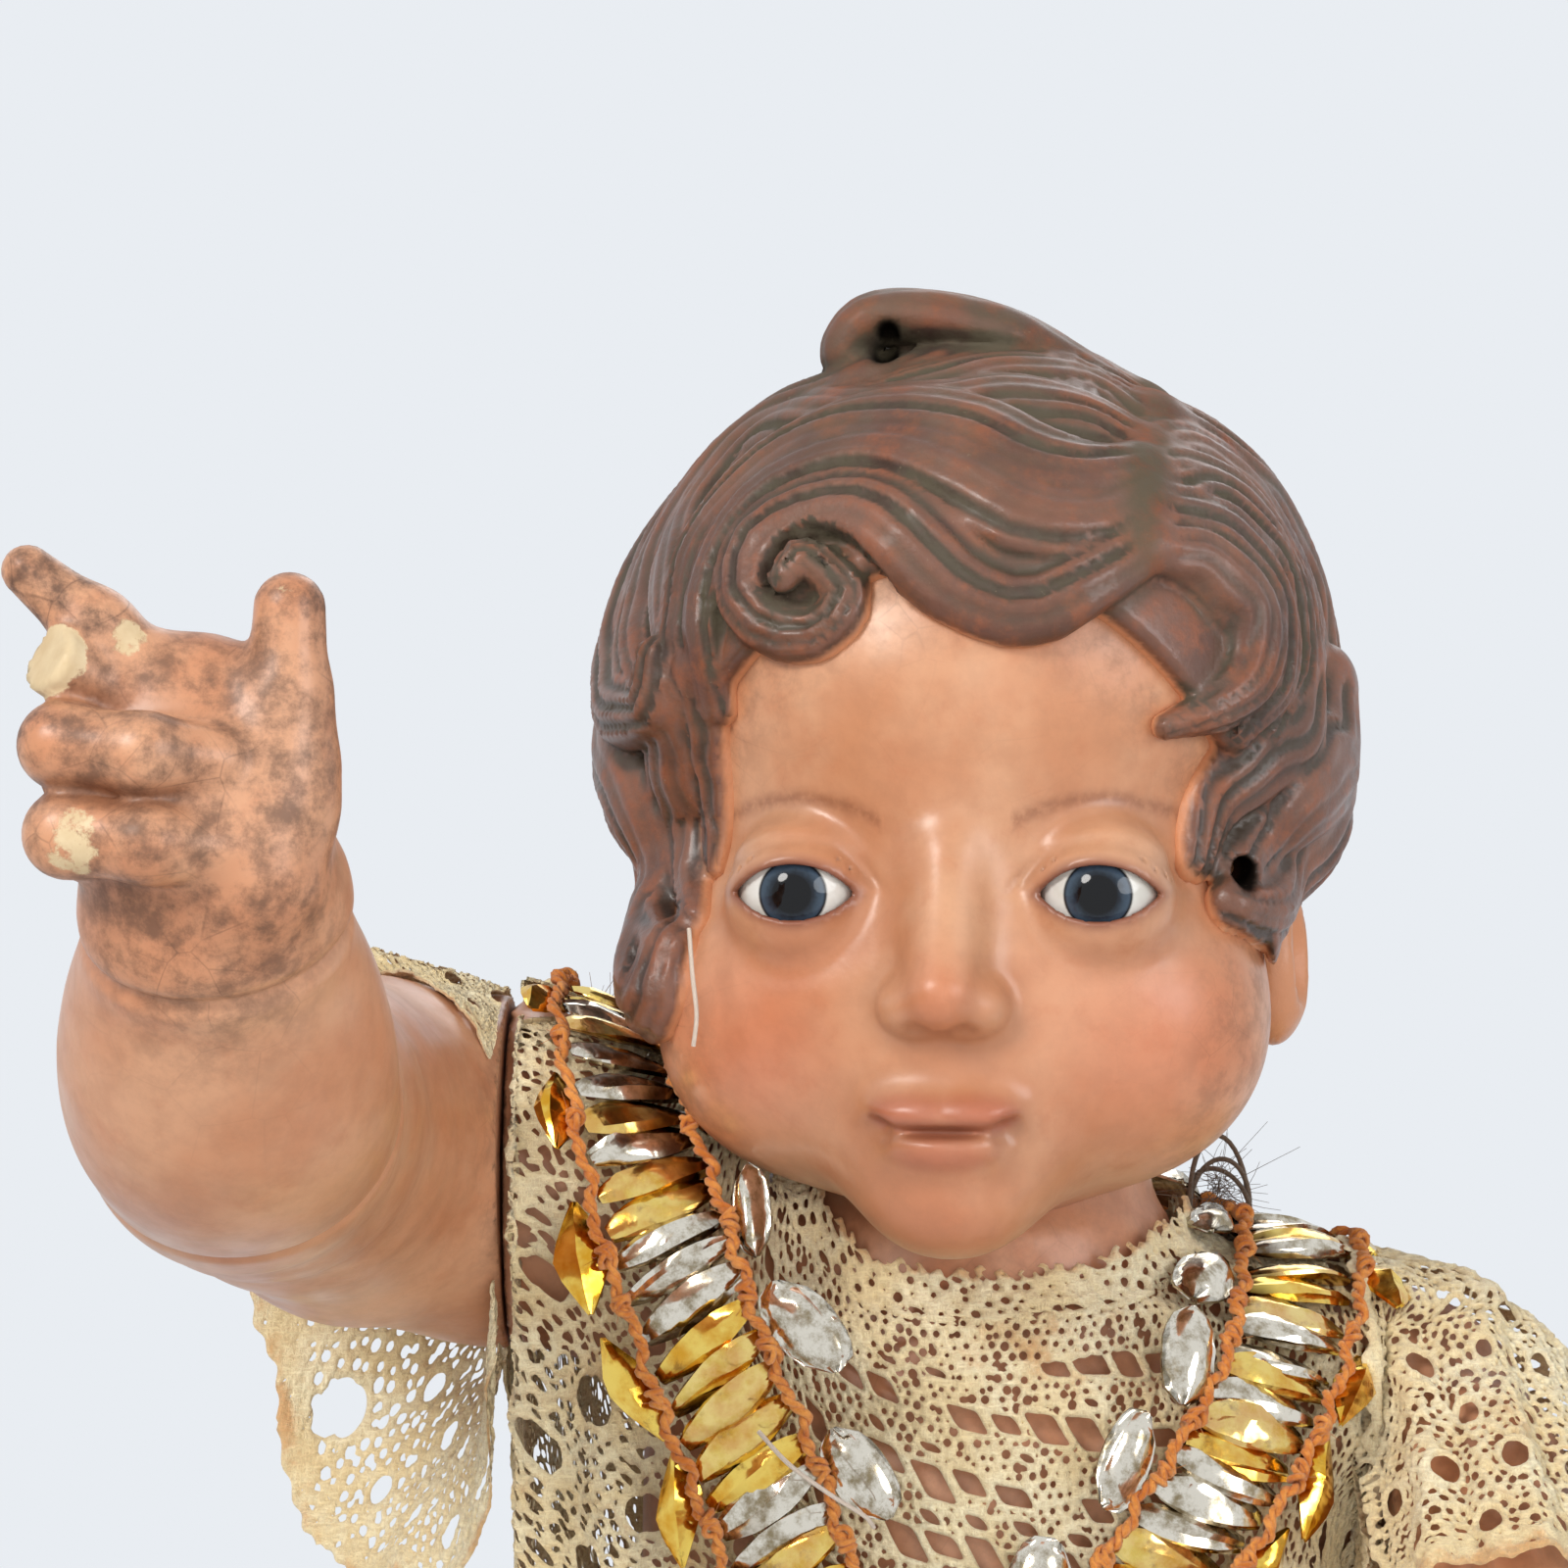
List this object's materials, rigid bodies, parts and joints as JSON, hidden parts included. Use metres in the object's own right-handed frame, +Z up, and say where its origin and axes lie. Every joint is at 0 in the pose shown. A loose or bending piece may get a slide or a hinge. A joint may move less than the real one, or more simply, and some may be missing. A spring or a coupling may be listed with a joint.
{
  "type": "wooden christ child figure",
  "caption": "Carved and painted wooden Christ child with glass eyes and peg-jointed arms, dressed in openwork lace with a foil garland, standing on a turned base",
  "frame": {"origin": "centre of the base's underside, on the surface it stands on", "axes": "+Z up, the figure faces -Y, +X is the figure's left"},
  "size_m": [0.1559, 0.1778, 0.4747],
  "materials": {
    "base_wood": "dark varnished turned wood, worn at the edges",
    "bare_wood": "unpainted softwood",
    "flesh_paint": "flesh-coloured oil paint on gesso, satin, with dust, cracks and chips",
    "hair_paint": "brown varnished paint with dust in the grooves and red-brown wear on the ridges",
    "eye_glass": "polished glass with a painted iris",
    "wax": "hardened bedding wax",
    "lace": "aged cream cotton lace",
    "orange_thread": "fuzzy twisted thread",
    "gold_foil": "crumpled gold-lacquered foil, glossy",
    "silver_foil": "crumpled tarnished silver foil, glossy"
  },
  "bodies": {
    "figure": {"base_plinth": "base_wood", "foot_dowel_right": "bare_wood", "foot_dowel_left": "bare_wood", "torso": "flesh_paint", "neck_dowel": "bare_wood", "head_block": "hair_paint", "face_mask": "flesh_paint", "eye_right": "eye_glass", "eye_left": "eye_glass", "eye_wax_right": "wax", "eye_wax_left": "wax", "lace_bodice": "lace", "lace_skirt_front": "lace", "lace_skirt_back": "lace", "lace_skirt_right": "lace", "lace_skirt_left": "lace", "neck_edging": "lace", "hem_edging": "lace", "garland_cord_outer": "orange_thread", "garland_cord_inner": "orange_thread", "garland_foil_rolls": "gold_foil", "garland_gold_leaves": "gold_foil", "garland_silver_leaves": "silver_foil"},
    "right_arm": {"right_arm": "flesh_paint", "right_shoulder_peg": "bare_wood", "lace_sleeve_right": "lace"},
    "left_arm": {"left_arm": "flesh_paint", "left_shoulder_peg": "bare_wood", "lace_sleeve_left": "lace"}
  },
  "joints": [
    {"name": "right_shoulder", "type": "hinge", "parent": "figure", "child": "right_arm", "pos_m": [-0.05, 0, 0.38], "axis": [1, 0, 0], "range_deg": [-20, 25]},
    {"name": "left_shoulder", "type": "hinge", "parent": "figure", "child": "left_arm", "pos_m": [0.042, 0.004, 0.354], "axis": [1, 0, 0], "range_deg": [-30, 10]}
  ]
}
